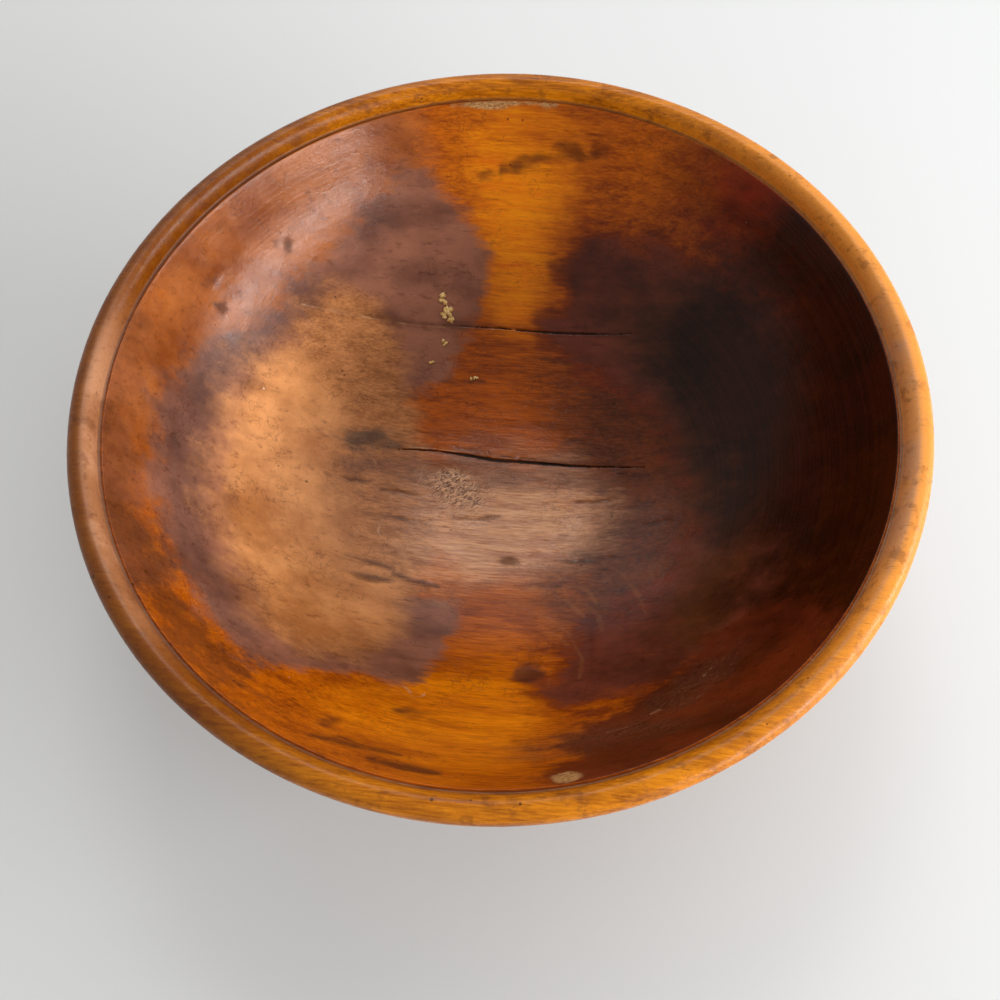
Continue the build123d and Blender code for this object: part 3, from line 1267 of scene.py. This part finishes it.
def finished_mesh(bm: bmesh.types.BMesh, name: str) -> bpy.types.Mesh:
    """Turns a shape into a mesh with smooth faces.

    Args:
        bm: Shape, which is freed.
        name: Name of the piece.

    Returns:
        The mesh.
    """
    for face in bm.faces:
        face.smooth = True
    mesh = bpy.data.meshes.new(name)
    bm.to_mesh(mesh)
    bm.free()
    return mesh


@dataclass(frozen=True)
class Refinement:
    """Marks that the skin is divided more finely round: how far from them, and new points on each edge."""

    shapes: tuple[Stroke | Spot, ...]
    reach: float
    cuts: int


@dataclass
class TurnedBowl:
    """The wood: foot, wall, quirk and rim bead in one turning, with its cracks and marks of use."""

    effects: WoodEffects
    rim_radius: float = 178.0
    height: float = 130.0
    foot_radius: float = 65.0
    floor_height: float = 24.0
    dish_radius: float = 480.0
    corner_radius: float = 150.0
    wall_lean: float = 28.0
    wall_top: Place = (165.0, 122.0)
    wall_top_ease: tuple[Place, ...] = ((-0.3, -0.5), (0.0, -0.12), (0.35, -0.2))
    quirk_bottom: Place = (166.0, 121.35)
    quirk_ease: tuple[Place, ...] = ((-0.25, 0.12), (0.0, 0.0), (0.35, 0.15))
    bead_inner: float = 167.0
    crown_radius: float = 171.5
    widest_height: float = 125.0
    bead_under: Place = (175.5, 117.0)
    outside_pulls: tuple[Place, Place] = ((139.5, 44.5), (107.0, 8.0))
    outside_end: float = 0.985
    foot_ease: tuple[float, ...] = (1.2, 3.2)
    foot_rings: tuple[float, float, int] = (0.9, 0.0, 6)
    floor_steps: int = 15
    corner_steps: int = 68
    wall_steps: int = 9
    bead_steps: int = 15
    under_steps: int = 11
    outside_steps: int = 34
    turns: int = 256
    merge_distance: float = 1e-7
    deepest_mark: float = 3.0
    thinnest_wood: float = 6.0
    flat_foot: float = 1.0
    top_clearance: float = 0.3
    lip_width: float = 0.6
    bead_rise: float = 1.0
    rim_rise: float = 2.0
    refinements: tuple[Refinement, ...] = (
        Refinement((MAIN_CRACK, REAR_CRACK), 2.6, 4),
        Refinement((*STREAKS, *SCRATCHES, *GROWTH_LINES), 1.4, 1),
        Refinement((*DENTS, *BARE_PLACES), 1.5, 1),
    )
    inside_table: np.ndarray = field(init=False)

    def __post_init__(self) -> None:
        """Works out the inside line, which the marks and the other pieces lie on."""
        self.inside_table = np.array(self.inside_line())

    def inside_line(self) -> list[Place]:
        """Draws the inside in section, from the middle of the floor to the top of the wall.

        Returns:
            The points of the line.
        """
        lean = math.radians(self.wall_lean)
        down = np.array([-math.sin(lean), -math.cos(lean)])
        inward = np.array([-math.cos(lean), math.sin(lean)])
        dish = np.array([0.0, self.floor_height + self.dish_radius])
        start = np.array(self.wall_top) + self.corner_radius * inward - dish
        along = start @ down
        rest = start @ start - (self.dish_radius - self.corner_radius) ** 2
        run = -along + math.sqrt(along * along - rest)
        centre = dish + start + run * down
        tangent = centre - dish
        turn = math.atan2(tangent[0], -tangent[1])
        floor_radii, corner_radii = (self.dish_radius,) * 2, (self.corner_radius,) * 2
        floor = arc(dish, floor_radii, 0.0, turn, self.floor_steps)
        corner = arc(centre, corner_radii, turn, math.pi / 2 - lean, self.corner_steps)[1:]
        wall = [tuple(point) for point in np.linspace(corner[-1], self.wall_top, self.wall_steps)[1:]]
        return [*floor, *corner, *wall]

    def inside_height(self, places: np.ndarray) -> np.ndarray:
        """Gives the height of the inside surface above plan points, in millimetres."""
        reach = np.hypot(places[:, 0], places[:, 1])
        return np.interp(reach, self.inside_table[:, 0], self.inside_table[:, 1])

    def section(self) -> list[Place]:
        """Draws the whole section, from the middle of the floor over the rim to the middle of the foot.

        Returns:
            The points of the line.
        """
        line = self.inside_line()[:-1]
        top, quirk, under = self.wall_top, self.quirk_bottom, self.bead_under
        line += [(top[0] + out, top[1] + up) for out, up in self.wall_top_ease]
        line += [(quirk[0] + out, quirk[1] + up) for out, up in self.quirk_ease]
        inner = (self.crown_radius - self.bead_inner, self.height - top[1])
        outer = (self.rim_radius - self.crown_radius, self.height - self.widest_height)
        below = (self.rim_radius - under[0], self.widest_height - under[1])
        side, crown = math.pi / 2, math.pi
        line += arc((self.crown_radius, top[1]), inner, crown + side, crown, self.bead_steps)
        line += arc((self.crown_radius, self.widest_height), outer, crown, side, self.bead_steps)[1:]
        line += arc((under[0], self.widest_height), below, side, 0.0, self.under_steps)[1:]
        start, end = np.array(under), np.array([self.foot_radius, 0.0])
        first, second = (np.array(pull) for pull in self.outside_pulls)
        for t in np.linspace(0.0, self.outside_end, self.outside_steps)[1:]:
            near, far = (1 - t) ** 3 * start + 3 * t * (1 - t) ** 2 * first, 3 * t * t * (1 - t) * second
            line.append(tuple(near + far + t**3 * end))
        line += [(self.foot_radius - ease, 0.0) for ease in self.foot_ease]
        line += [(self.foot_radius * share, 0.0) for share in np.linspace(*self.foot_rings)]
        return line

    def turn(self) -> bmesh.types.BMesh:
        """Turns the section round the axis into a closed skin.

        Returns:
            The skin.
        """
        bm = bmesh.new()
        corners = [bm.verts.new((r * MM, 0.0, z * MM)) for r, z in self.section()]
        edges = [bm.edges.new(pair) for pair in zip(corners, corners[1:])]
        axis = {"cent": (0, 0, 0), "axis": (0, 0, 1), "angle": 2 * math.pi}
        bmesh.ops.spin(bm, geom=corners + edges, steps=self.turns, use_merge=True, **axis)
        bmesh.ops.remove_doubles(bm, verts=bm.verts, dist=self.merge_distance)
        bmesh.ops.recalc_face_normals(bm, faces=bm.faces)
        return bm

    def places(self, bm: bmesh.types.BMesh) -> np.ndarray:
        """Reads the vertices' places in millimetres."""
        bm.verts.index_update()
        return np.array([vert.co for vert in bm.verts]) / MM

    def on_inside(self, places: np.ndarray, margin: float = 0.2) -> np.ndarray:
        """Tells which places lie on the inside surface, up to a margin past the top of the wall.

        Args:
            places: Array of points in millimetres.
            margin: How far past the wall's top edge a place still counts.

        Returns:
            For each place, whether it lies on the inside.
        """
        reach = np.hypot(places[:, 0], places[:, 1])
        above = places[:, 2] > self.inside_height(places) - self.deepest_mark
        return (reach < self.wall_top[0] + margin) & above

    def refine(self, bm: bmesh.types.BMesh, wanted: Refinement) -> None:
        """Divides the skin finely round some marks and lays the new points on the turned surface.

        Args:
            bm: Skin of the bowl.
            wanted: Marks to refine round, how far and how finely.
        """
        where = self.places(bm)
        near = (nearest_gap(wanted.shapes, where[:, :2]) < wanted.reach) & self.on_inside(where)
        edges = [edge for edge in bm.edges if near[edge.verts[0].index] and near[edge.verts[1].index]]
        bmesh.ops.subdivide_edges(bm, edges=edges, cuts=wanted.cuts, use_grid_fill=True)
        where = self.places(bm)
        inside, heights = self.on_inside(where, -self.top_clearance), self.inside_height(where)
        for vert in bm.verts:
            if inside[vert.index]:
                vert.co.z = heights[vert.index] * MM

    def wear(self, bm: bmesh.types.BMesh) -> None:
        """Moves the skin inwards for cracks, checks, dents, chips and the slight waves of old wood.

        Args:
            bm: Skin of the bowl.
        """
        where = self.places(bm)
        bm.normal_update()
        normals = np.array([vert.normal for vert in bm.verts])
        plan = where[:, :2]
        ragged = sum(ripple.signed(where) for ripple in RAGGED_EDGES)
        main_gap = MAIN_CRACK.gap(plan)
        cut = np.maximum(MAIN_CUT.at(main_gap, ragged), REAR_CUT.at(REAR_CRACK.shown_gap(plan), ragged))
        cut += CRACK_LIP.at(main_gap, ragged)
        for shapes, surface_cut in SURFACE_CUTS:
            cut = np.maximum(cut, surface_cut.at(nearest_gap(shapes, plan), ragged))
        cut += TORN_CUT.at(TORN_PATCH.gap(plan), ragged) * TORN_STRANDS.raised(where)
        on_rim = where[:, 2] > self.wall_top[1] + self.rim_rise
        sink = sum(ripple.raised(where) for ripple in OLD_WAVES)
        sink = sink + np.where(self.on_inside(where), cut, 0.0)
        sink = sink + np.where(on_rim, NICK_CUT.at(RIM_NICK.gap(plan), ragged), 0.0)
        sink[where[:, 2] < self.flat_foot] = 0.0
        for vert in bm.verts:
            vert.co -= Vector(normals[vert.index]) * float(sink[vert.index] * MM)

    def region(self, middle: Vector) -> Region:
        """Tells which part of the turning a face belongs to.

        Args:
            middle: Middle of the face, in millimetres.

        Returns:
            The part.
        """
        reach = math.hypot(middle.x, middle.y)
        if reach > self.quirk_bottom[0] and middle.z > self.bead_under[1] + self.bead_rise:
            return Region.RIM
        floor = np.interp(reach, self.inside_table[:, 0], self.inside_table[:, 1])
        if reach > self.wall_top[0] + self.lip_width or middle.z < floor - self.thinnest_wood:
            return Region.OUTSIDE
        return Region.INSIDE

    def keep_marks(self, mesh: bpy.types.Mesh, places: np.ndarray) -> None:
        """Keeps on the mesh how deep its points lie inside each mark.

        Args:
            mesh: Mesh of the bowl.
            places: Places of its points before they were worn, in millimetres.
        """
        inside = self.on_inside(places)
        for mark in Mark:
            depths = np.max([shape.depth(places[inside, :2]) for shape in MARK_SHAPES[mark]], axis=0)
            values = np.full(len(places), -DEPTH_LIMIT, np.float32)
            values[inside] = np.clip(depths, -DEPTH_LIMIT, DEPTH_LIMIT)
            mesh.attributes.new(mark.value, "FLOAT", "POINT").data.foreach_set("value", values)

    def build(self) -> bpy.types.Object:
        """Makes the bowl's mesh with its marks and finishes.

        Returns:
            The finished piece.
        """
        bm = self.turn()
        for wanted in self.refinements:
            self.refine(bm, wanted)
        places = self.places(bm)
        self.wear(bm)
        for face in bm.faces:
            face.material_index = self.region(face.calc_center_median() / MM)
        mesh = finished_mesh(bm, "turned_bowl")
        self.keep_marks(mesh, places)
        for finish in (InsideFinish, RimFinish, OutsideFinish):
            mesh.materials.append(finish(self.effects).make())
        return bpy.data.objects.new("turned_bowl", mesh)


@dataclass
class CrackPacking:
    """Hardened grime that fills the lower part of a crack, a little below the wood's surface."""

    bowl: TurnedBowl
    name: str
    crack: Stroke
    recess: float
    depth: float
    grime: bpy.types.Material
    segments: tuple[int, int] = (120, 3)
    look_round: float = 0.01
    side_press: float = 0.4
    lump_waves: Place = (0.5, 0.9)
    lump_height: float = 0.3

    def at(self, way: float) -> np.ndarray:
        """Gives the plan point at a share of the way along the crack."""
        run, line = self.crack.run(), self.crack.line()
        return np.array([np.interp(way, run, line[:, axis]) for axis in (0, 1)])

    def laid(self, way: float, aside: float) -> Vector:
        """Lays one point of the strip into the crack.

        Args:
            way: Share of the way along the crack.
            aside: Share of the width from its middle.

        Returns:
            The point's place in metres.
        """
        heading = self.at(min(way + self.look_round, 1.0)) - self.at(max(way - self.look_round, 0.0))
        heading = heading / np.linalg.norm(heading)
        width = self.crack.width * float(self.crack.share(np.array(way))) + self.side_press
        x, y = self.at(way) + np.array([-heading[1], heading[0]]) * aside * width
        lump = noise.noise(Vector((x * self.lump_waves[0], y * self.lump_waves[1], self.depth)))
        height = float(self.bowl.inside_height(np.array([[x, y]]))[0]) - self.recess + lump * self.lump_height
        return Vector((x, y, height)) * MM

    def build(self) -> bpy.types.Object:
        """Lays a fine strip along the crack, follows its line and gives it a thickness.

        Returns:
            The finished piece.
        """
        bm = bmesh.new()
        bmesh.ops.create_grid(bm, x_segments=self.segments[0], y_segments=self.segments[1], size=0.5)
        for vert in bm.verts:
            vert.co = self.laid(vert.co.x + 0.5, vert.co.y)
        made = bmesh.ops.extrude_face_region(bm, geom=bm.faces[:])
        lower = [item for item in made["geom"] if isinstance(item, bmesh.types.BMVert)]
        bmesh.ops.translate(bm, verts=lower, vec=(0.0, 0.0, -self.depth * MM))
        bmesh.ops.recalc_face_normals(bm, faces=bm.faces)
        mesh = finished_mesh(bm, self.name)
        mesh.materials.append(self.grime)
        return bpy.data.objects.new(self.name, mesh)


@dataclass
class DriedFlakes:
    """Pale golden crumbs that dried onto the floor behind the cracks."""

    bowl: TurnedBowl
    finish: CrustFinish = CrustFinish("dried_crust", (210, 150, 66), (255, 230, 160), 0.5, 0.7)
    lumps: tuple[Point, ...] = (
        (-26.4, 103.2, 2.4), (-27.6, 101.0, 2.2), (-25.6, 100.4, 2.6), (-25.2, 96.6, 2.8), (-22.8, 97.2, 2.4),
        (-27.0, 94.8, 2.0), (-24.6, 96.0, 2.4), (-23.2, 94.6, 2.2), (-26.0, 93.6, 2.0), (-23.0, 92.2, 2.6),
        (-22.2, 93.0, 2.0), (-27.4, 82.2, 1.8), (-26.4, 80.8, 2.0), (-34.6, 71.0, 1.6), (-33.2, 71.4, 1.4),
        (-13.4, 63.0, 1.4), (-11.8, 63.2, 1.6), (-10.2, 63.2, 1.3),
    )
    squash: Point = (1.35, 0.95, 0.6)
    knobs: Point = (0.9, 2.6, 5.1)
    grit: Point = (0.5, 6.0, 3.7)
    turn_step: float = 2.4
    lift: float = 0.1
    slope_step: float = 0.5

    def crumpled(self, place: Vector, index: int) -> Vector:
        """Crumples one point of a ball.

        Args:
            place: The point on a ball of unit width.
            index: Number of the lump, for a shape of its own.

        Returns:
            The point on the squashed lump of unit size.
        """
        size, waves, shift = self.knobs
        bumpy = 1.0 + size * noise.noise(place * waves + Vector((index * shift, 0.0, 0.0)))
        size, waves, shift = self.grit
        bumpy += size * noise.noise(place * waves + Vector((0.0, index * shift, 0.0)))
        return Vector([side * share for side, share in zip(place, self.squash)]) * bumpy

    def build(self) -> bpy.types.Object:
        """Crumples small balls, flattens them and presses each onto the wood.

        Returns:
            The finished piece.
        """
        bm = bmesh.new()
        step = self.slope_step
        for index, (x, y, size) in enumerate(self.lumps):
            grown = bmesh.ops.create_icosphere(bm, subdivisions=2, radius=0.5)["verts"]
            floor = self.bowl.inside_height(np.array([[x, y], [x + step, y], [x, y + step]]))
            up = Vector((floor[0] - floor[1], floor[0] - floor[2], step)).normalized()
            turn = up.to_track_quat("Z", "Y").to_matrix() @ Matrix.Rotation(index * self.turn_step, 3, "Z")
            base = Vector((x, y, floor[0])) + up * size * self.lift
            for vert in grown:
                vert.co = (base + turn @ self.crumpled(vert.co, index) * size) * MM
        bmesh.ops.recalc_face_normals(bm, faces=bm.faces)
        mesh = finished_mesh(bm, "dried_flakes")
        mesh.materials.append(self.finish.make())
        return bpy.data.objects.new("dried_flakes", mesh)


@dataclass(frozen=True)
class Lamp:
    """One soft lamp that faces the bowl.

    The azimuth runs from +X towards +Y and the elevation up from the horizon, in degrees. The distance and
    the sides of its face are metres. Its level is 1 for a white sheet in full light.
    """

    name: str
    azimuth: float
    elevation: float
    distance: float
    sides: Place
    level: float
    aim_height: float = 0.08

    def hang(self) -> None:
        """Hangs the lamp in its place."""
        turn, rise = math.radians(self.azimuth), math.radians(self.elevation)
        way = Vector((math.cos(turn) * math.cos(rise), math.sin(turn) * math.cos(rise), math.sin(rise)))
        data = bpy.data.lights.new(self.name, "AREA")
        data.shape, data.size, data.size_y = "RECTANGLE", *self.sides
        data.energy = self.level * math.pi * self.sides[0] * self.sides[1]
        made = bpy.data.objects.new(self.name, data)
        made.location = way * self.distance + Vector((0.0, 0.0, self.aim_height))
        made.rotation_euler = way.to_track_quat("Z", "Y").to_euler()
        bpy.context.scene.collection.objects.link(made)


def swung(first: Vector, second: Vector, angle: float) -> tuple[Vector, Vector]:
    """Swings two directions at right angles, the first towards the second, by an angle in radians."""
    cosine, sine = math.cos(angle), math.sin(angle)
    return first * cosine + second * sine, second * cosine - first * sine


@dataclass
class Studio:
    """Pale floor, soft lamps and the camera at the photograph's angle."""

    rim_centre: Point = (0.0, 0.0, 125.0)
    camera_distance: float = 420.49
    camera_elevation: float = 57.605
    aim_below: float = 0.11761
    aim_left: float = 0.00237
    roll: float = -2.7093
    lens: float = 36.0
    clip: Place = (0.01, 100.0)
    floor_side: float = 30.0
    floor_drop: float = 0.1
    floor_colour: Colour = (0.80, 0.82, 0.83)
    floor_roughness: float = 0.7
    room_colour: Colour = (1.0, 0.965, 0.91)
    room_level: float = 0.38
    backdrop_level: float = 0.5
    lamps: tuple[Lamp, ...] = (
        Lamp("low_window", -26.5, 18.0, 1.6, (1.9, 0.2), 24.0),
        Lamp("rear_fill", 70.0, 46.0, 1.7, (3.0, 1.1), 1.3),
        Lamp("rear_spark", 88.0, 56.0, 1.7, (0.55, 0.36), 4.8),
    )

    def camera(self) -> None:
        """Places the camera: it looks at the rim's middle, then a little below it, and leans."""
        rise = math.radians(self.camera_elevation)
        back = Vector((0.0, -math.cos(rise), math.sin(rise)))
        place = Vector(self.rim_centre) * MM + back * self.camera_distance * MM
        ahead, right = -back, Vector((1.0, 0.0, 0.0))
        above, ahead = swung(right.cross(ahead), ahead, math.atan(self.aim_below))
        right, ahead = swung(right, ahead, math.atan(self.aim_left))
        right, above = swung(right, above, math.radians(self.roll))
        data = bpy.data.cameras.new("camera")
        data.sensor_fit, data.sensor_width, data.lens = "HORIZONTAL", self.lens, self.lens
        data.clip_start, data.clip_end = self.clip
        made = bpy.data.objects.new("camera", data)
        turn = Matrix((right, above, -ahead)).transposed()
        made.matrix_world = Matrix.Translation(place) @ turn.to_4x4()
        bpy.context.scene.collection.objects.link(made)
        bpy.context.scene.camera = made

    def floor(self) -> None:
        """Lays a plain pale floor."""
        bm = bmesh.new()
        bmesh.ops.create_grid(bm, x_segments=1, y_segments=1, size=self.floor_side / 2)
        bmesh.ops.translate(bm, verts=bm.verts, vec=(0.0, 0.0, -self.floor_drop * MM))
        mesh = bpy.data.meshes.new("floor")
        bm.to_mesh(mesh)
        bm.free()
        made = bpy.data.objects.new("floor", mesh)
        finish, _, shader = new_material("pale_floor")
        shader.inputs["Base Color"].default_value = (*self.floor_colour, 1.0)
        shader.inputs["Roughness"].default_value = self.floor_roughness
        mesh.materials.append(finish)
        bpy.context.scene.collection.objects.link(made)

    def room(self) -> None:
        """Sets the soft light all round, and the paler backdrop that is seen and mirrored."""
        world = bpy.data.worlds.new("room")
        world.use_nodes = True
        bpy.context.scene.world = world
        desk = NodeDesk(world.node_tree)
        backdrop = next(node for node in world.node_tree.nodes if node.type == "BACKGROUND")
        backdrop.inputs["Color"].default_value = (*self.room_colour, 1.0)
        rays = desk.node("ShaderNodeLightPath").outputs
        mirrored = desk.math("MAXIMUM", rays["Is Glossy Ray"], rays["Is Transmission Ray"])
        seen = desk.math("MAXIMUM", rays["Is Camera Ray"], mirrored)
        strength = desk.node("ShaderNodeMapRange")
        desk.join(seen, strength.inputs["Value"])
        strength.inputs["To Min"].default_value = self.room_level
        strength.inputs["To Max"].default_value = self.backdrop_level
        desk.join(strength.outputs[0], backdrop.inputs["Strength"])

    def set_up(self) -> None:
        """Builds the whole studio."""
        self.camera()
        self.floor()
        for lamp in self.lamps:
            lamp.hang()
        self.room()
        bpy.context.scene.view_settings.view_transform = "Standard"


def present(piece: bpy.types.Object, nodes: Sequence[str]) -> None:
    """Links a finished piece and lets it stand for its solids.

    Args:
        piece: The finished piece.
        nodes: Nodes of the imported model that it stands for.
    """
    bpy.context.scene.collection.objects.link(piece)
    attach(piece, "root")
    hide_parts(*nodes)
    LOG.info("%s: %d faces", piece.name, len(piece.data.polygons))


def main() -> None:
    """Builds the pieces in order, then the studio, and notes the sizes."""
    logging.basicConfig(level=logging.INFO, format="%(name)s: %(message)s")
    bowl = TurnedBowl(WoodEffects())
    present(bowl.build(), ("bowl",))
    grime = CrustFinish("hard_grime", (20, 13, 9), (46, 31, 22), 0.75).make()
    main_packing = CrackPacking(bowl, "main_crack_grime", MAIN_CRACK, 1.2, 1.8, grime)
    present(main_packing.build(), ("main_crack_packing",))
    rear_packing = CrackPacking(bowl, "rear_crack_grime", REAR_CRACK, 0.8, 1.2, grime)
    present(rear_packing.build(), ("rear_crack_packing",))
    present(DriedFlakes(bowl).build(), ("residue_flakes",))
    Studio().set_up()


if __name__ == "__main__":
    main()
